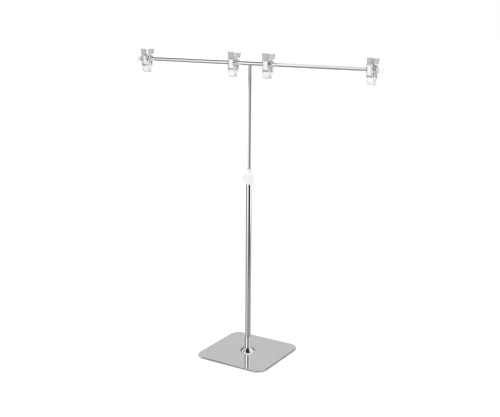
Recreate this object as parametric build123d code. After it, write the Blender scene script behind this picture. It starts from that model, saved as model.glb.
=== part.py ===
from build123d import *
import math
import os

# Telescopic T-bar display stand with four pinch clips, in millimetres.
# Origin: centre of the stand's footprint, on the surface it stands on.
# +Z runs up the pole, +X runs along the cross bar, the clips' front jaws face -Y.

# --- base ---
PAD_T = 1.5
PAD_R = 7.0
PAD_AT = 80.0
PAD_EDGE = 0.3
BASE_SIDE = 200.0
BASE_T = 3.0
BASE_CORNER = 26.0
BASE_EDGE = 0.4
BASE_TOP = PAD_T + BASE_T
ESC_R = 18.6
ESC_RIM_H = 0.8
ESC_TOP_R = 8.9
ESC_H = 9.5
ESC_WALL = 1.2

# --- pole ---
OUTER_R = 8.0
OUTER_WALL = 1.0
OUTER_TOP = 448.6
PLUG_LEN = 22.0
PLUG_EDGE = 0.8
SCREW_R = 2.5
SCREW_HEAD_R = 5.0
SCREW_HEAD_H = 2.6
SCREW_LEN = 18.0
SCREW_HEX = 1.7
SCREW_HEX_DEPTH = 1.6
INNER_R = 4.75
INNER_WALL = 0.8
INNER_BOTTOM = 250.0
INNER_TOP = 738.5
RING_FROM_END = 2.0
RING_R = 6.2
RING_T = 0.8
RING_DEPTH = 0.25
GUIDE_LEN = 12.0
GUIDE_EDGE = 0.6
GUIDE_GROOVES = (4.0, 7.0)
GUIDE_GROOVE_W = 1.0
GUIDE_GROOVE_DEPTH = 0.6

# --- coupler and lock nut ---
SPIGOT_LEN = 30.0
FLANGE_R = 10.0
FLANGE_T = 2.0
COLLET_R = 7.0
COLLET_TIP_R = 5.8
COLLET_TOP = 480.0
COLLET_CONE_H = 8.0
COLLET_SLOT = 1.2
COLLET_SLOT_H = 20.0
THREAD_R = 7.5
THREAD_ROOT_R = 6.7
THREAD_TURNS = 4
THREAD_PITCH = 3.0
THREAD_T = 1.2
NUT_R = 12.3
NUT_NECK_R = 8.2
NUT_SHOULDER = 475.0
NUT_TOP = 486.6
NUT_ROUND = 1.5
NUT_TOP_ROUND = 1.0
NUT_STEP_H = 3.0
LUG_REACH = 18.0
LUG_T = 4.6
LUG_TOP = 479.0
LUG_ANGLE = 205.0
LUG_DROP = 6.0
LUG_ROUND = 1.8
LUG_OVERLAP = 0.5
GRIP_COUNT = 24
GRIP_R = 0.8
GRIP_OUTSIDE = 0.35
GRIP_FROM = 2.0
GRIP_LEN = 17.0

# --- cross bar ---
BAR_Z = 745.0
BAR_R = 4.75
BAR_WALL = 0.8
BAR_HALF = 341.0
CAP_R = 8.8
CAP_CENTRE = 339.2
CAP_FACE = 330.8
STUD_R = 2.0
STUD_BOTTOM = 725.0
STUD_ABOVE = 2.5
STUD_EDGE = 0.4
BAR_NUT_LEN = 14.0
SADDLE_R = 4.2
SADDLE_HOLLOW = 1.6
INSERT_LEN = 15.0

# --- pinch clips: position along the bar and the lean each one hangs at ---
CLIP_X = (-312.3, -46.8, 50.4, 318.0)
CLIP_LEAN = (-2.5, -7.0, -4.5, -5.0)
CLIP_W = 18.0
CLIP_WALL = 1.6
CLIP_CORNER = 2.6
WEB_T = 2.0
WEB_BEND = 6.0
# outer face of one half from the handle's top to the jaw's tip: distance from the bar, height
OUTLINE = ((17.4, 25.1), (14.6, 8.0), (13.4, -3.0), (12.2, -13.0), (9.4, -24.0), (7.4, -33.7))
HANDLE_W = 16.4
HANDLE_NECK = (7.0, 12.0)
HANDLE_RIM = 2.8
RIB_COUNT = 5
RIB_T = 0.9
RIB_SHORT = 5.0
CHEEK_LEAN = 13.0
CHEEK_TOP = 8.5
STOP_W = 6.0
STOP_T = 1.8
STOP_Z = -1.5
JAW_GAP = 0.2
TIP_PAD_H = 9.0
TIP_PAD_T = 1.6
TIP_FLOOR_T = 2.2
TOOTH_COUNT = 4
TOOTH_PITCH = 1.6
TOOTH_FROM = 1.2
TOOTH_R = 0.35
BUSH_R = 5.8
BUSH_RIM_T = 1.0
BUSH_RIM_H = 0.7
SOCKET_R = 5.88
BARREL_R = 7.3
SPRING_W = 12.4
SPRING_T = 0.5
LOOP_TOP = 10.6
LOOP_Z = 8.0
LOOP_FLAT = 8.0
LEAF_LIFT = 0.2
LEAF_BEND = 0.8

# --- clearances, and how far a cutting tool reaches past what it cuts ---
FIT = 0.05
GAP = 0.3
PAST = 1.0


def cyl(r, z0, z1):
    """Upright cylinder on the pole's axis."""
    return Pos(0, 0, z0) * Cylinder(r, z1 - z0, align=(Align.CENTER, Align.CENTER, Align.MIN))


def cone(r0, r1, z0, z1):
    """Upright cone on the pole's axis."""
    return Pos(0, 0, z0) * Cone(r0, r1, z1 - z0, align=(Align.CENTER, Align.CENTER, Align.MIN))


def rod(r, x0, x1):
    """Cylinder along X, on the X axis."""
    return Pos((x0 + x1) / 2, 0, 0) * Rot(0, 90, 0) * Cylinder(r, x1 - x0)


def side_slab(face, half_width):
    """Extrude a face drawn in the YZ plane to both sides of X = 0."""
    return extrude(Plane.YZ * face, half_width, both=True)


def strip(points, radius, thickness):
    """Flat face that follows a rounded path at a constant thickness."""
    path = Wire(FilletPolyline(*points, radius=radius).edges())
    return make_face(path.offset_2d(thickness / 2).edges())


# ---------------------------------------------------------------- base


def base_plate():
    slab = extrude(RectangleRounded(BASE_SIDE, BASE_SIDE, BASE_CORNER), BASE_T)
    slab = Pos(0, 0, PAD_T) * slab
    slab = chamfer(slab.faces().sort_by(Axis.Z)[-1].edges(), BASE_EDGE)
    slab -= cyl(SCREW_R + 2 * FIT, 0, BASE_TOP + PAST)
    slab -= cone(SCREW_HEAD_R + FIT, SCREW_R + FIT, PAD_T + GAP, PAD_T + GAP + SCREW_HEAD_H)
    slab -= cyl(SCREW_HEAD_R + FIT, 0, PAD_T + GAP)
    return slab


def foot_pads():
    pad = chamfer(cyl(PAD_R, 0, PAD_T).faces().sort_by(Axis.Z)[0].edges(), PAD_EDGE)
    return [Pos(x, y, 0) * pad for x in (-PAD_AT, PAD_AT) for y in (-PAD_AT, PAD_AT)]


def base_screw():
    z0 = PAD_T + GAP
    screw = cone(SCREW_HEAD_R, SCREW_R, z0, z0 + SCREW_HEAD_H)
    screw += cyl(SCREW_R, z0 + SCREW_HEAD_H, z0 + SCREW_LEN)
    socket = extrude(RegularPolygon(SCREW_HEX, 6), SCREW_HEX_DEPTH)
    return screw - Pos(0, 0, z0) * socket


def escutcheon():
    """Low conical collar that hides the joint of pole and plate."""
    top = BASE_TOP + ESC_H
    outside = cyl(ESC_R, BASE_TOP, BASE_TOP + ESC_RIM_H)
    outside += cone(ESC_R, ESC_TOP_R, BASE_TOP + ESC_RIM_H, top)
    inside = cone(ESC_R - ESC_WALL, OUTER_R + FIT, BASE_TOP, top - ESC_WALL)
    return outside - inside - cyl(OUTER_R + 2 * FIT, BASE_TOP, BASE_TOP + ESC_H)


# ---------------------------------------------------------------- pole


def outer_tube():
    tube = cyl(OUTER_R, BASE_TOP, OUTER_TOP)
    return tube - cyl(OUTER_R - OUTER_WALL, BASE_TOP, OUTER_TOP)


def tube_plug():
    plug = cyl(OUTER_R - OUTER_WALL, BASE_TOP, BASE_TOP + PLUG_LEN)
    plug = chamfer(plug.faces().sort_by(Axis.Z)[-1].edges(), PLUG_EDGE)
    return plug - cyl(SCREW_R, BASE_TOP, BASE_TOP + PLUG_LEN)


def ring_z():
    """Lower faces of the two grooves that hold the guide bush on the inner tube."""
    lower = INNER_BOTTOM + RING_FROM_END
    return (lower, lower + RING_T + GUIDE_LEN + 2 * GAP)


def inner_tube():
    tube = cyl(INNER_R, INNER_BOTTOM, INNER_TOP)
    for z in ring_z():
        tube -= cyl(INNER_R + PAST, z, z + RING_T) - cyl(INNER_R - RING_DEPTH, z, z + RING_T)
    return tube - cyl(INNER_R - INNER_WALL, INNER_BOTTOM, INNER_TOP)


def bush_rings():
    rings = []
    for z in ring_z():
        rings.append(cyl(RING_R, z, z + RING_T) - cyl(INNER_R - RING_DEPTH, z, z + RING_T))
    return rings


def guide_bush():
    """Plastic bush that centres the inner tube in the outer one."""
    bore_r = OUTER_R - OUTER_WALL
    z0 = ring_z()[0] + RING_T + GAP
    bush = cyl(bore_r - FIT, z0, z0 + GUIDE_LEN)
    bush = chamfer(bush.edges().filter_by(GeomType.CIRCLE), GUIDE_EDGE)
    for up in GUIDE_GROOVES:
        z = z0 + up
        bush -= cyl(OUTER_R, z, z + GUIDE_GROOVE_W) - cyl(bore_r - GUIDE_GROOVE_DEPTH, z, z + GUIDE_GROOVE_W)
    return bush - cyl(INNER_R + FIT, z0, z0 + GUIDE_LEN)


# ---------------------------------------------------------------- coupler


def coupler_body():
    """Spigot in the outer tube, a flange on its rim and a slotted collet above."""
    body = cyl(OUTER_R - OUTER_WALL, OUTER_TOP - SPIGOT_LEN, OUTER_TOP)
    body += cyl(FLANGE_R, OUTER_TOP, OUTER_TOP + FLANGE_T)
    body += cyl(COLLET_R, OUTER_TOP + FLANGE_T, COLLET_TOP - COLLET_CONE_H)
    body += cone(COLLET_R, COLLET_TIP_R, COLLET_TOP - COLLET_CONE_H, COLLET_TOP)
    body -= cyl(INNER_R + FIT, OUTER_TOP - SPIGOT_LEN, COLLET_TOP)
    slot = Box(COLLET_SLOT, 4 * COLLET_R, COLLET_SLOT_H, align=(Align.CENTER, Align.CENTER, Align.MIN))
    for turn in (0, 90):
        body -= Pos(0, 0, COLLET_TOP - COLLET_SLOT_H) * Rot(0, 0, turn) * slot
    for i in range(THREAD_TURNS):
        z = OUTER_TOP + FLANGE_T + THREAD_PITCH * (i + 1)
        body += cyl(THREAD_R, z, z + THREAD_T) - cyl(THREAD_ROOT_R, z, z + THREAD_T)
    return body


def lock_nut():
    """Clear nut with one lug; turning it closes the collet on the inner tube."""
    z0 = OUTER_TOP + FLANGE_T + GAP
    nut = cyl(NUT_R, z0, NUT_SHOULDER)
    nut = fillet(nut.faces().sort_by(Axis.Z)[-1].edges(), NUT_ROUND)
    nut += cone(NUT_R - NUT_ROUND, NUT_NECK_R, NUT_SHOULDER, NUT_SHOULDER + NUT_STEP_H)
    nut += cyl(NUT_NECK_R, NUT_SHOULDER, NUT_TOP)
    nut = fillet(nut.edges().filter_by(GeomType.CIRCLE).sort_by(Axis.Z)[-1], NUT_TOP_ROUND)
    groove = Pos(NUT_R + GRIP_OUTSIDE, 0, 0) * cyl(GRIP_R, z0 + GRIP_FROM, z0 + GRIP_FROM + GRIP_LEN)
    for i in range(GRIP_COUNT):
        nut -= Rot(0, 0, 360 / GRIP_COUNT * (i + 0.5) + LUG_ANGLE) * groove
    side = Polygon(
        (NUT_NECK_R - LUG_OVERLAP, z0),
        (LUG_REACH, z0),
        (LUG_REACH, NUT_SHOULDER - LUG_DROP),
        (NUT_NECK_R - LUG_OVERLAP, LUG_TOP),
        align=None,
    )
    lug = extrude(Plane.XZ * side, LUG_T / 2, both=True)
    lug = fillet(lug.edges().filter_by(Axis.Z).sort_by(Axis.X)[-2:], LUG_ROUND)
    nut += Rot(0, 0, LUG_ANGLE) * lug
    nut -= cyl(THREAD_R + GAP, z0, COLLET_TOP - COLLET_CONE_H)
    nut -= cone(THREAD_R + GAP, COLLET_TIP_R + 0.5, COLLET_TOP - COLLET_CONE_H, COLLET_TOP + GAP)
    return nut - cyl(INNER_R + GAP, z0, NUT_TOP)


# ---------------------------------------------------------------- cross bar


def cross_bar():
    bar = rod(BAR_R, -BAR_HALF, BAR_HALF) - rod(BAR_R - BAR_WALL, -BAR_HALF, BAR_HALF)
    bar = Pos(0, 0, BAR_Z) * bar
    return bar - cyl(STUD_R + 2 * FIT, BAR_Z - BAR_R - PAST, BAR_Z)


def bar_nut():
    """Barrel nut inside the bar."""
    nut = Pos(0, 0, BAR_Z) * rod(BAR_R - BAR_WALL - FIT, -BAR_NUT_LEN / 2, BAR_NUT_LEN / 2)
    return nut - cyl(STUD_R, BAR_Z - BAR_R, BAR_Z + BAR_R)


def bar_stud():
    stud = cyl(STUD_R, STUD_BOTTOM, BAR_Z + STUD_ABOVE)
    return chamfer(stud.edges().filter_by(GeomType.CIRCLE), STUD_EDGE)


def bar_saddle():
    """Short neck whose top is hollowed to the bar's radius."""
    neck = cyl(SADDLE_R, INNER_TOP, BAR_Z - BAR_R + SADDLE_HOLLOW)
    neck -= Pos(0, 0, BAR_Z) * rod(BAR_R, -2 * BAR_R, 2 * BAR_R)
    return neck - cyl(STUD_R + FIT, INNER_TOP, BAR_Z)


def mast_insert():
    plug = cyl(INNER_R - INNER_WALL, INNER_TOP - INSERT_LEN, INNER_TOP)
    return plug - cyl(STUD_R, INNER_TOP - INSERT_LEN, INNER_TOP)


def end_cap(side):
    """Clear ball with a flat inboard face and a blind bore for the bar's end."""
    ball = Pos(CAP_CENTRE, 0, 0) * Sphere(CAP_R)
    cut = Box(CAP_R, 3 * CAP_R, 3 * CAP_R, align=(Align.MAX, Align.CENTER, Align.CENTER))
    ball -= Pos(CAP_FACE, 0, 0) * cut
    ball -= rod(BAR_R, CAP_FACE - PAST, BAR_HALF + GAP)
    ball = Pos(0, 0, BAR_Z) * ball
    return ball if side > 0 else mirror(ball, Plane.YZ)


# ---------------------------------------------------------------- pinch clips
# Each clip is drawn level, on the X axis, with one half on the +Y side.


def clip_bush():
    """Clear liner on the bar: the clip slides with it and swings round it."""
    half = CLIP_W / 2 + GAP
    end = half + BUSH_RIM_T
    bush = rod(BUSH_R, -end, end)
    bush += rod(BUSH_R + BUSH_RIM_H, -end, -half)
    bush += rod(BUSH_R + BUSH_RIM_H, half, end)
    return bush - rod(BAR_R + FIT, -CLIP_W, CLIP_W)


def front_mask(top_z, floor_z):
    """Block with a clip half's front view: rounded corners, handle narrower than the body."""
    side = [(CLIP_W / 2, floor_z), (CLIP_W / 2, HANDLE_NECK[0]), (HANDLE_W / 2, HANDLE_NECK[1])]
    side.append((HANDLE_W / 2, top_z))
    face = Polygon(*side, *[(-x, z) for x, z in side[::-1]], align=None)
    ends = face.vertices().group_by(Axis.Y)
    face = fillet(ends[0] + ends[-1], CLIP_CORNER)
    return extrude(Plane.XZ * face, 2 * CLIP_W, both=True)


def jaw_half():
    """One moulded half: handle, web, two cheeks, half barrel and jaw tip."""
    inner_web = [(d - WEB_T / 2, z) for d, z in OUTLINE]
    half = side_slab(strip(inner_web, WEB_BEND, WEB_T), CLIP_W / 2)

    vee = math.tan(math.radians(CHEEK_LEAN))
    top_d, top_z = OUTLINE[0]
    tip_d, tip_z = OUTLINE[-1]
    cheek = Polygon(
        (JAW_GAP, tip_z - WEB_T / 2),
        (tip_d - 1.0, tip_z - WEB_T / 2),
        *[(d - 0.5, z) for d, z in OUTLINE[::-1]],
        (top_d - HANDLE_RIM, top_z),
        (top_d - HANDLE_RIM - 1.6, CHEEK_TOP + 3.0),
        (JAW_GAP + CHEEK_TOP * vee + 3.0, CHEEK_TOP),
        (JAW_GAP + CHEEK_TOP * vee, CHEEK_TOP),
        (JAW_GAP, 0),
        align=None,
    )
    solid = side_slab(cheek, CLIP_W / 2)
    half += solid - side_slab(cheek, CLIP_W / 2 - CLIP_WALL)
    half += rod(BARREL_R, -CLIP_W / 2, CLIP_W / 2) & solid
    half += Pos(0, (BARREL_R + OUTLINE[2][0]) / 2 - 1.0, STOP_Z) * Box(CLIP_W, STOP_W, STOP_T)

    floor_z = tip_z - WEB_T / 2
    tip = Polygon(
        (JAW_GAP, floor_z),
        (tip_d - 0.8, floor_z),
        (tip_d - 0.8, floor_z + TIP_FLOOR_T),
        (JAW_GAP + 2.0, floor_z + 2.8),
        (JAW_GAP + TIP_PAD_T, floor_z + TIP_PAD_H),
        (JAW_GAP, floor_z + TIP_PAD_H),
        align=None,
    )
    half += side_slab(tip, CLIP_W / 2)
    for i in range(TOOTH_COUNT):
        z = floor_z + TOOTH_FROM + TOOTH_PITCH * i
        half -= Pos(0, JAW_GAP, z) * rod(TOOTH_R, -CLIP_W / 2 - PAST, CLIP_W / 2 + PAST)

    lean = math.degrees(math.atan2(OUTLINE[0][0] - OUTLINE[1][0], OUTLINE[0][1] - OUTLINE[1][1]))
    for i in range(RIB_COUNT):
        t = (i + 0.9) / (RIB_COUNT + 1.8)
        d = top_d + (OUTLINE[1][0] - top_d) * t
        z = top_z + (OUTLINE[1][1] - top_z) * t
        rib = Rot(-lean, 0, 0) * Box(CLIP_W - RIB_SHORT, RIB_T, RIB_T)
        half += Pos(0, d - 0.1, z) * rib
    half -= Pos(0, OUTLINE[1][0], LOOP_Z) * Box(SPRING_W + 1.0, 9.0, 5.0)
    return (half & front_mask(top_z, floor_z)) - rod(SOCKET_R, -CLIP_W, CLIP_W)


def clip_spring():
    """One bent steel leaf: it arches over the bar and its legs press on both halves."""
    gap = LEAF_LIFT + SPRING_T / 2
    leg = [(d + gap, z) for d, z in OUTLINE[2:4]]
    end_d, end_z = leg[-1]
    right = [(0, LOOP_TOP), (LOOP_FLAT, LOOP_TOP), (OUTLINE[1][0] + 0.6, LOOP_Z - 1.0)]
    right += leg + [(end_d - 0.8, end_z - 3.4), (end_d + 1.4, end_z - 5.0), (end_d + 2.2, end_z - 2.4)]
    left = [(-y, z) for y, z in right[:0:-1]]
    return side_slab(strip(left + right[1:], LEAF_BEND, SPRING_T), SPRING_W / 2)


def place(shape, index):
    """Put a clip piece at its place and lean on the bar."""
    return Pos(CLIP_X[index], 0, BAR_Z) * Rot(CLIP_LEAN[index], 0, 0) * shape


def save(name, shape):
    solids = shape if isinstance(shape, list) else [shape]
    found = [s for item in solids for s in item.solids()]
    body = found[0] if len(found) == 1 else Compound(children=found)
    body.label = name
    export_step(body, "parts/" + name + ".step")
    print(name, len(found), round(sum(s.volume for s in found), 1))


os.makedirs("parts", exist_ok=True)
save("base_plate", base_plate())
save("foot_pads", foot_pads())
save("base_screw", base_screw())
save("escutcheon", escutcheon())
save("outer_tube", outer_tube())
save("tube_plug", tube_plug())
save("inner_tube", inner_tube())
save("bush_rings", bush_rings())
save("guide_bush", guide_bush())
save("coupler_body", coupler_body())
save("lock_nut", lock_nut())
save("cross_bar", cross_bar())
save("bar_nut", bar_nut())
save("bar_stud", bar_stud())
save("bar_saddle", bar_saddle())
save("mast_insert", mast_insert())
save("end_cap_left", end_cap(-1))
save("end_cap_right", end_cap(1))
rear = jaw_half()
front = mirror(rear, Plane.XZ)
for n in range(len(CLIP_X)):
    tag = "clip_" + str(n + 1)
    save(tag + "_bush", place(clip_bush(), n))
    save(tag + "_front_jaw", place(front, n))
    save(tag + "_rear_jaw", place(rear, n))
    save(tag + "_spring", place(clip_spring(), n))
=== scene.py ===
import math

import bmesh
import bpy
from mathutils import Matrix, Vector


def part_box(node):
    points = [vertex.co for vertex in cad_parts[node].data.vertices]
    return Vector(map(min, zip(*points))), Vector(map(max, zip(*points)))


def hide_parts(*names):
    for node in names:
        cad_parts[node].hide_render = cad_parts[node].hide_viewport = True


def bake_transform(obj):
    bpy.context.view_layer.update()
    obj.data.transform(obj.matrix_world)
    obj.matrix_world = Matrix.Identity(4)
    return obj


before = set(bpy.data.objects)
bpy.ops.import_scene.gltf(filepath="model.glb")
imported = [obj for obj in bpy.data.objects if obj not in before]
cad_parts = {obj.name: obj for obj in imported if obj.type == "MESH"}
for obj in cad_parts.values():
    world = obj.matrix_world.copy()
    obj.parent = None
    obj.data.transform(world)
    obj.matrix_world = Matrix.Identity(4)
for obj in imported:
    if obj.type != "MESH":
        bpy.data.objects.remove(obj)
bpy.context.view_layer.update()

MM = 0.001

# ------------------------------------------------------------------ camera

bar_lo, bar_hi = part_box("cross_bar")
BAR_Z = (bar_lo.z + bar_hi.z) / 2

# The view solved from the photo. Distance and height are in heights of the bar.
CAM_AZIMUTH = math.radians(31.2956)
CAM_DISTANCE = 2.75078 * BAR_Z
CAM_HEIGHT = 1.17795 * BAR_Z
CAM_YAW = math.radians(-0.0816)
CAM_PITCH = math.radians(13.4934)
CAM_ROLL = math.radians(0.4932)

cam_data = bpy.data.cameras.new("camera")
cam_data.sensor_width = 36.0
cam_data.lens = 60.47
cam = bpy.data.objects.new("camera", cam_data)
cam.matrix_world = (
    Matrix.Translation(
        (math.sin(CAM_AZIMUTH) * CAM_DISTANCE, -math.cos(CAM_AZIMUTH) * CAM_DISTANCE, CAM_HEIGHT)
    )
    @ Matrix.Rotation(CAM_AZIMUTH + CAM_YAW, 4, "Z")
    @ Matrix.Rotation(math.pi / 2 - CAM_PITCH, 4, "X")
    @ Matrix.Rotation(CAM_ROLL, 4, "Z")
)
bpy.context.scene.collection.objects.link(cam)
bpy.context.scene.camera = cam


# ------------------------------------------------------------------ node helpers


class Graph:
    """Short calls for building a shader graph."""

    def __init__(self, tree):
        self.tree = tree
        tree.nodes.clear()

    def node(self, kind, **settings):
        made = self.tree.nodes.new(kind)
        for key, value in settings.items():
            setattr(made, key, value)
        return made

    def put(self, socket, value):
        if isinstance(value, bpy.types.NodeSocket):
            self.tree.links.new(value, socket)
        else:
            socket.default_value = value

    def math(self, op, a, b=0.0, c=0.0):
        n = self.node("ShaderNodeMath", operation=op)
        for socket, value in zip(n.inputs, (a, b, c)):
            self.put(socket, value)
        return n.outputs[0]

    def mix(self, factor, a, b):
        n = self.node("ShaderNodeMix", data_type="RGBA")
        self.put(n.inputs["Factor"], factor)
        self.put(n.inputs[6], a)
        self.put(n.inputs[7], b)
        return n.outputs[2]

    def ramp(self, factor, stops):
        n = self.node("ShaderNodeValToRGB")
        elements = n.color_ramp.elements
        while len(elements) < len(stops):
            elements.new(1.0)
        for element, (at, value) in zip(elements, stops):
            element.position = at
            element.color = value if isinstance(value, tuple) else (value, value, value, 1)
        self.put(n.inputs[0], factor)
        return n.outputs[0]

    def step(self, value, start, end):
        """0 before start, 1 after end, smooth between."""
        n = self.node("ShaderNodeMapRange", interpolation_type="SMOOTHSTEP")
        self.put(n.inputs["Value"], value)
        n.inputs["From Min"].default_value = start
        n.inputs["From Max"].default_value = end
        return n.outputs[0]

    def place(self, scale=(1, 1, 1)):
        """Object coordinates, stretched by scale."""
        coords = self.node("ShaderNodeTexCoord")
        mapping = self.node("ShaderNodeMapping")
        mapping.inputs["Scale"].default_value = scale
        self.put(mapping.inputs["Vector"], coords.outputs["Object"])
        return mapping.outputs[0]

    def noise(self, vector, scale, detail=4.0, rough=0.55):
        n = self.node("ShaderNodeTexNoise")
        self.put(n.inputs["Vector"], vector)
        n.inputs["Scale"].default_value = scale
        n.inputs["Detail"].default_value = detail
        n.inputs["Roughness"].default_value = rough
        return n.outputs["Fac"]

    def bump(self, height, distance, strength=1.0, normal=None):
        n = self.node("ShaderNodeBump")
        self.put(n.inputs["Height"], height)
        n.inputs["Distance"].default_value = distance
        n.inputs["Strength"].default_value = strength
        if normal is not None:
            self.put(n.inputs["Normal"], normal)
        return n.outputs[0]


def shader(name, **sockets):
    """A material with one Principled shader; returns it with its graph and shader node."""
    m = bpy.data.materials.new(name)
    m.use_nodes = True
    g = Graph(m.node_tree)
    out = g.node("ShaderNodeOutputMaterial")
    p = g.node("ShaderNodeBsdfPrincipled")
    g.put(out.inputs["Surface"], p.outputs[0])
    for key, value in sockets.items():
        p.inputs[key.replace("_", " ")].default_value = value
    return m, g, p


# ------------------------------------------------------------------ world

# The world is white for the eye and for soft light. Only mirrored rays see the tent: a room of light
# and dark panels. Heights are the z of a unit direction, from -1 straight down to 1 straight up.
TOP_DARK = 0.06
TOP_LIGHT = 0.78
BOTTOM_GREY = 0.27
ZENITH_DARK = 0.02
BACK_BAND = (-0.08, 0.29)
HIGH_BAND = (0.455, 0.60)
BAND_SOFT = 0.015
BAND_DARK = 0.06
BACK_FROM = (-0.62, -0.72)
ROOF_STRIP = ((-0.484, -0.502), (-0.66, -0.64))
ZENITH = (0.90, 0.97)
ZENITH_SOFT = 0.005
ZENITH_FROM = (0.03, 0.07)
DIFFUSE_WHITE = 1.07

# Brightness round the tent: (degrees from the camera's side, positive towards its right, brightness).
TENT_HIGH = (
    (-180, 0.50), (-157, 0.50), (-148, 0.08), (-78, 0.08), (-71, 0.45), (-68, 1.10), (-63, 1.25),
    (-59, 0.70), (-55, 0.70), (-50, 1.30), (-30, 1.30), (-24, 0.10), (0, 0.06), (12, 0.14), (40, 0.16),
    (50, 0.72), (88, 0.72), (98, 0.30), (122, 0.34), (132, 0.62), (153, 0.62), (163, 0.50), (180, 0.50),
)
TENT_LEVEL = (
    (-180, 0.75), (-134, 0.38), (-118, 0.22), (-76, 0.24), (-67, 1.10), (-52, 1.10), (-45, 0.40), (-10, 0.32),
    (4, 0.10), (50, 0.08), (58, 0.75), (90, 0.75), (97, 0.50), (140, 0.52), (155, 0.90), (180, 0.80),
)
TENT_TUBE = (
    (-180, 0.80), (-120, 0.74), (-76, 0.74), (-70, 1.15), (-53, 1.15), (-47, 0.50), (-15, 0.40), (10, 0.26),
    (30, 0.18), (60, 0.15), (72, 0.22), (90, 0.85), (180, 0.90),
)
TENT_MIDDLE = (
    (-180, 0.75), (-134, 0.38), (-118, 0.22), (-72, 0.20), (-64, 1.10), (-28, 1.15), (-21, 0.33), (0, 0.16),
    (4, 0.0), (55, 0.0), (59, 1.75), (90, 1.75), (97, 0.27), (140, 0.34), (155, 0.90), (180, 0.80),
)
TENT_LOW = (
    (-180, 0.75), (-104, 0.60), (-94, 0.25), (-58, 0.25), (-50, 0.92), (-22, 0.92), (-16, 0.18), (0, 0.14),
    (6, 0.05), (44, 0.05), (55, 0.33), (96, 0.36), (112, 0.74), (180, 0.80),
)
TENT_FLOOR = (
    (-180, 0.75), (-130, 0.52), (-99, 0.49), (-64, 0.45), (-54, 0.52), (-24, 0.50), (-12, 0.30), (17, 0.31),
    (54, 0.30), (99, 0.38), (125, 0.70), (180, 0.75),
)
TENT_SKIRT = (
    (-180, 0.75), (-78, 0.50), (-70, 0.20), (-55, 0.20), (-47, 0.50), (-10, 0.30), (54, 0.30), (96, 0.38),
    (104, 0.08), (128, 0.08), (140, 0.70), (180, 0.75),
)
# The heights between which the level ring gives way to the high one, going up.
HORIZON = (-0.02, 0.06)
# The rings below the horizon: the heights between which each one takes over, going down.
TENT_BELOW = (
    (-0.08, -0.10, TENT_TUBE), (-0.190, -0.200, TENT_MIDDLE), (-0.22, -0.28, TENT_LOW),
    (-0.275, -0.34, TENT_FLOOR), (-0.375, -0.387, TENT_SKIRT),
)
WALL_TOP = (0.44, 0.50)
ROOF_FROM = (0.62, 0.72)
GROUND_FROM = (-0.50, -0.66)


def grey(tone):
    return (tone, tone, tone, 1)


def between(g, value, low, high, soft):
    """1 from low to high, 0 outside."""
    rise = g.step(value, low - soft, low + soft)
    return g.math("SUBTRACT", rise, g.step(value, high - soft, high + soft))


def tent_panels(g):
    """What the mirrored rays see: rings round the stand, a roof, a back wall and a floor."""
    coords = g.node("ShaderNodeTexCoord")
    split = g.node("ShaderNodeSeparateXYZ")
    g.put(split.inputs[0], coords.outputs["Generated"])
    x, y, z = split.outputs
    right = (math.cos(CAM_AZIMUTH), math.sin(CAM_AZIMUTH))
    toward = (math.sin(CAM_AZIMUTH), -math.cos(CAM_AZIMUTH))
    across = g.math("ADD", g.math("MULTIPLY", x, right[0]), g.math("MULTIPLY", y, right[1]))
    ahead = g.math("ADD", g.math("MULTIPLY", x, toward[0]), g.math("MULTIPLY", y, toward[1]))
    azimuth = g.math("ADD", g.math("DIVIDE", g.math("ARCTAN2", across, ahead), 2 * math.pi), 0.5)

    def ring(stops):
        return g.ramp(azimuth, [(degrees / 360 + 0.5, tone) for degrees, tone in stops])

    tent = g.mix(g.step(z, *HORIZON), ring(TENT_LEVEL), ring(TENT_HIGH))
    for start, end, stops in TENT_BELOW:
        tent = g.mix(g.step(z, start, end), tent, ring(stops))
    tent = g.mix(g.step(z, *WALL_TOP), tent, grey(TOP_LIGHT))
    strip = g.math("MULTIPLY", g.step(x, *ROOF_STRIP[0]), g.step(x, *ROOF_STRIP[1]))
    roof = g.mix(strip, grey(TOP_LIGHT), grey(TOP_DARK))
    tent = g.mix(g.step(z, *ROOF_FROM), tent, roof)
    above = g.math("MULTIPLY", between(g, z, *ZENITH, ZENITH_SOFT), g.step(ahead, *ZENITH_FROM))
    tent = g.mix(above, tent, grey(ZENITH_DARK))

    behind = g.step(ahead, *BACK_FROM)
    back_band = g.math("MULTIPLY", between(g, z, *BACK_BAND, BAND_SOFT), behind)
    tent = g.mix(back_band, tent, grey(BAND_DARK))
    high_band = g.math("MULTIPLY", between(g, z, *HIGH_BAND, BAND_SOFT), g.math("MULTIPLY", behind, strip))
    tent = g.mix(high_band, tent, grey(BAND_DARK))
    return g.mix(g.step(z, *GROUND_FROM), tent, grey(BOTTOM_GREY))


def build_world():
    world = bpy.data.worlds.new("tent")
    bpy.context.scene.world = world
    world.use_nodes = True
    g = Graph(world.node_tree)
    path = g.node("ShaderNodeLightPath")
    soft = g.mix(path.outputs["Is Camera Ray"], grey(DIFFUSE_WHITE), grey(1.0))
    through = g.math("SUBTRACT", 1.0, path.outputs["Is Transmission Ray"])
    mirrored = g.math("MULTIPLY", path.outputs["Is Glossy Ray"], through)
    back = g.node("ShaderNodeBackground")
    g.put(back.inputs["Color"], g.mix(mirrored, soft, tent_panels(g)))
    out = g.node("ShaderNodeOutputWorld")
    g.put(out.inputs["Surface"], back.outputs[0])


build_world()
scene = bpy.context.scene
scene.view_settings.view_transform = "Standard"
scene.view_settings.look = "None"


def sun(name, direction, strength, spread):
    """Soft light from far away; spread is its angle in degrees."""
    data = bpy.data.lights.new(name, "SUN")
    data.energy = strength
    data.angle = math.radians(spread)
    lamp = bpy.data.objects.new(name, data)
    lamp.rotation_mode = "QUATERNION"
    lamp.rotation_quaternion = Vector(direction).to_track_quat("-Z", "Y")
    lamp.visible_glossy = False
    scene.collection.objects.link(lamp)


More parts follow.
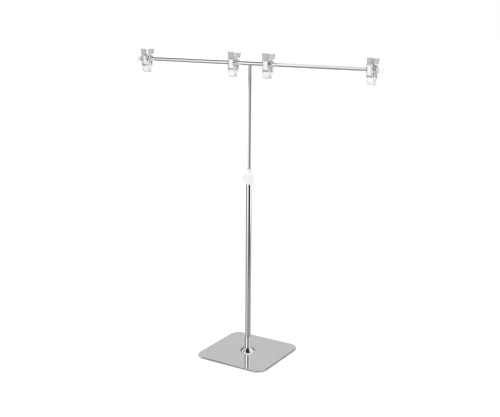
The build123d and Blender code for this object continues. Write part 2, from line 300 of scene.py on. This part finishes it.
sun("key", (0.5, 0.4, -1.0), strength=0.8, spread=60)
sun("fill", (-0.6, -0.5, -1.0), strength=0.25, spread=80)


FLOOR_HALF = 12.0
FLOOR_CELLS = 8


def floor():
    """Plain pale floor, not seen in reflections."""
    material, g, p = shader("floor", Roughness=0.9)
    tone = g.noise(g.place(), 3.0)
    g.put(p.inputs["Base Color"], g.ramp(tone, [(0.3, 0.90), (0.7, 0.93)]))
    bm = bmesh.new()
    bmesh.ops.create_grid(bm, x_segments=FLOOR_CELLS, y_segments=FLOOR_CELLS, size=FLOOR_HALF)
    mesh = bpy.data.meshes.new("floor")
    bm.to_mesh(mesh)
    bm.free()
    ground = bpy.data.objects.new("floor", mesh)
    ground.data.materials.append(material)
    ground.visible_glossy = False
    scene.collection.objects.link(ground)


floor()

# ------------------------------------------------------------------ materials


def chrome(name, tone, rough, grain, metal=1.0):
    """Polished plating: fine drawn lines, and faint wipe marks that dull it a little."""
    m, g, p = shader(name, Metallic=metal)
    along = g.noise(g.place(grain), 900.0, 3.0)
    wipes = g.noise(g.place(), 22.0, 5.0, 0.6)
    tint = g.ramp(wipes, [(0.3, (tone * 0.985, tone * 0.985, tone, 1)), (0.7, (tone, tone, tone, 1))])
    g.put(p.inputs["Base Color"], tint)
    spread = g.node("ShaderNodeMapRange")
    g.put(spread.inputs["Value"], wipes)
    spread.inputs["To Min"].default_value = rough
    spread.inputs["To Max"].default_value = rough * 1.8
    g.put(p.inputs["Roughness"], spread.outputs[0])
    g.put(p.inputs["Normal"], g.bump(along, 0.000004, 0.4))
    return m


def plated_steel():
    """Dull zinc-plated steel for the pieces inside."""
    tone, rough = 0.55, 0.32
    m, g, p = shader("plated_steel", Metallic=1.0)
    fine = g.noise(g.place(), 900.0, 3.0)
    cloud = g.noise(g.place(), 60.0)
    g.put(p.inputs["Base Color"], g.ramp(cloud, [(0.3, tone * 0.9), (0.7, tone * 1.06)]))
    g.put(p.inputs["Roughness"], g.math("MULTIPLY_ADD", fine, 0.2, rough - 0.1))
    g.put(p.inputs["Normal"], g.bump(fine, 0.00004, 0.5))
    return m


def absorb(m, g, tone, density):
    """Long ways through the plastic come out darker than short ones."""
    v = g.node("ShaderNodeVolumeAbsorption")
    v.inputs["Color"].default_value = (tone, tone, tone, 1)
    v.inputs["Density"].default_value = density
    out = next(n for n in g.tree.nodes if n.type == "OUTPUT_MATERIAL")
    g.put(out.inputs["Volume"], v.outputs[0])


# The frosted grip starts at this height above the bar. Thin walls let part of the light straight through.
GRIP_FROM = 10.4 * MM
GRIP_BLEND = 0.8 * MM
CLIP_ALPHA = 0.6
HANDLE_ALPHA = 0.9


def clip_plastic():
    """Clear moulded plastic with slight flow ripples, frosted and grained on the handles."""
    m, g, p = shader("clip_plastic", Transmission_Weight=1.0, IOR=1.50)
    coords = g.node("ShaderNodeTexCoord")
    split = g.node("ShaderNodeSeparateXYZ")
    g.put(split.inputs[0], coords.outputs["Object"])
    handle = g.step(split.outputs[2], BAR_Z + GRIP_FROM, BAR_Z + GRIP_FROM + GRIP_BLEND)
    flow = g.noise(g.place((1, 1, 0.4)), 140.0, 2.0)
    haze = g.noise(g.place(), 400.0, 5.0)
    grain = g.noise(g.place(), 1500.0, 2.0)
    clear = g.ramp(flow, [(0.2, (0.975, 0.98, 0.985, 1)), (0.8, (0.99, 0.993, 0.996, 1))])
    frosted = g.ramp(haze, [(0.3, (0.44, 0.445, 0.45, 1)), (0.7, (0.50, 0.505, 0.51, 1))])
    g.put(p.inputs["Base Color"], g.mix(handle, clear, frosted))
    polished = g.math("MULTIPLY_ADD", haze, 0.03, 0.01)
    matt = g.math("MULTIPLY_ADD", haze, 0.15, 0.30)
    body = g.math("SUBTRACT", 1.0, handle)
    rough = g.math("ADD", g.math("MULTIPLY", matt, handle), g.math("MULTIPLY", polished, body))
    g.put(p.inputs["Roughness"], rough)
    g.put(p.inputs["Alpha"], g.math("MULTIPLY_ADD", handle, HANDLE_ALPHA - CLIP_ALPHA, CLIP_ALPHA))
    ripple = g.bump(flow, 0.00006, 0.6)
    g.put(p.inputs["Normal"], g.bump(g.math("MULTIPLY", grain, handle), 0.00008, 0.8, ripple))
    absorb(m, g, 0.5, 30.0)
    return m


def clear_plastic(name, tint, rough):
    """Thin clear lining on the bar."""
    m, g, p = shader(name, Transmission_Weight=1.0, IOR=1.45, Alpha=0.45)
    haze = g.noise(g.place(), 400.0, 5.0)
    darker = tuple(c * 0.98 for c in tint)
    g.put(p.inputs["Base Color"], g.ramp(haze, [(0.2, darker + (1,)), (0.8, tint + (1,))]))
    g.put(p.inputs["Roughness"], g.math("MULTIPLY_ADD", haze, rough, rough * 0.5))
    g.put(p.inputs["Normal"], g.bump(haze, 0.00002, 0.5))
    return m


def milky_plastic(name, clear):
    """Natural, slightly milky plastic: mostly white, with a glossy moulded skin."""
    m, g, p = shader(name, Transmission_Weight=clear, IOR=1.49)
    cloud = g.noise(g.place(), 120.0, 4.0)
    skin = g.noise(g.place(), 500.0, 3.0)
    g.put(p.inputs["Base Color"], g.ramp(cloud, [(0.2, 0.975), (0.8, 0.995)]))
    g.put(p.inputs["Roughness"], g.math("MULTIPLY_ADD", skin, 0.12, 0.16))
    g.put(p.inputs["Normal"], g.bump(skin, 0.00003, 0.5))
    return m


def spring_steel():
    """Bright strip with a fine rolled grain along its length."""
    m, g, p = shader("spring_steel", Metallic=1.0)
    rolled = g.noise(g.place((1, 0.05, 0.05)), 2500.0, 2.0)
    cloud = g.noise(g.place(), 150.0)
    tint = g.ramp(cloud, [(0.3, (0.90, 0.90, 0.905, 1)), (0.7, (0.97, 0.97, 0.975, 1))])
    g.put(p.inputs["Base Color"], tint)
    g.put(p.inputs["Roughness"], g.math("MULTIPLY_ADD", rolled, 0.12, 0.16))
    g.put(p.inputs["Normal"], g.bump(rolled, 0.00001, 0.6))
    return m


def rubber():
    """Black rubber of the foot pads."""
    m, g, p = shader("pad_rubber", Roughness=0.75)
    grain = g.noise(g.place(), 900.0, 4.0)
    g.put(p.inputs["Base Color"], g.ramp(grain, [(0.3, 0.020), (0.7, 0.035)]))
    g.put(p.inputs["Normal"], g.bump(grain, 0.0001, 0.7))
    return m


def nylon():
    """Natural nylon of the guide bush."""
    m, g, p = shader("bush_nylon", Roughness=0.45)
    grain = g.noise(g.place(), 600.0, 4.0)
    tint = g.ramp(grain, [(0.3, (0.80, 0.79, 0.76, 1)), (0.7, (0.86, 0.85, 0.82, 1))])
    g.put(p.inputs["Base Color"], tint)
    g.put(p.inputs["Normal"], g.bump(grain, 0.00005, 0.5))
    return m


CHROME_TUBE = chrome("chrome_tube", 0.97, 0.018, (1, 1, 0.02))
CHROME_BAR = chrome("chrome_bar", 0.97, 0.018, (0.02, 1, 1))
CHROME_PLATE = chrome("polished_plate", 0.93, 0.022, (1, 0.05, 1), 0.9)
STEEL = plated_steel()
CLIP = clip_plastic()
LINER = clear_plastic("liner_plastic", (0.97, 0.975, 0.98), 0.05)
MILKY = milky_plastic("milky_plastic", 0.25)
SPRING = spring_steel()
RUBBER = rubber()
NYLON = nylon()

LOOKS = {
    "outer_tube": CHROME_TUBE, "inner_tube": CHROME_TUBE, "escutcheon": CHROME_TUBE,
    "bar_saddle": CHROME_TUBE, "cross_bar": CHROME_BAR, "base_plate": CHROME_PLATE,
    "foot_pads": RUBBER, "guide_bush": NYLON, "coupler_body": MILKY, "lock_nut": MILKY,
    "end_cap_left": MILKY, "end_cap_right": MILKY,
}
for name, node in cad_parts.items():
    look = LOOKS.get(name, STEEL)
    if name.endswith("jaw"):
        look = CLIP
    elif name.endswith("spring"):
        look = SPRING
    elif name.startswith("clip") and name.endswith("bush"):
        look = LINER
    for s in node.material_slots:
        s.material = look

# ------------------------------------------------------------------ leaf springs

CLIPS = 4
CROWN = 0.30 * MM
# The crown is full this far from the bar, and fades out towards it.
CROWN_FROM = 8.0 * MM
WELD = 0.001 * MM
CUTS = 10
SHARP = math.radians(40)


def crowned_spring(number):
    """The clip's leaf with a slight crown across its width."""
    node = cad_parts["clip_%d_spring" % number]
    low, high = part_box(node.name)
    middle = (low.x + high.x) / 2
    half = (high.x - low.x) / 2
    bm = bmesh.new()
    verts = [bm.verts.new(v.co) for v in node.data.vertices]
    for polygon in node.data.polygons:
        bm.faces.new([verts[i] for i in polygon.vertices])
    bmesh.ops.remove_doubles(bm, verts=bm.verts[:], dist=WELD)
    for i in range(1, CUTS):
        at = low.x + (high.x - low.x) * i / CUTS
        everything = bm.verts[:] + bm.edges[:] + bm.faces[:]
        bmesh.ops.bisect_plane(bm, geom=everything, plane_co=(at, 0, 0), plane_no=(1, 0, 0))
    for v in bm.verts:
        across = (v.co.x - middle) / half
        v.co.y -= math.copysign(CROWN * across * across, v.co.y) * min(1, abs(v.co.y) / CROWN_FROM)
    mesh = bpy.data.meshes.new("leaf_%d" % number)
    bm.to_mesh(mesh)
    bm.free()
    mesh.shade_smooth()
    mesh.set_sharp_from_angle(angle=SHARP)
    mesh.materials.append(SPRING)
    leaf = bpy.data.objects.new("leaf_spring_%d" % number, mesh)
    scene.collection.objects.link(leaf)
    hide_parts(node.name)
    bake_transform(leaf)


for clip in range(CLIPS):
    crowned_spring(clip + 1)
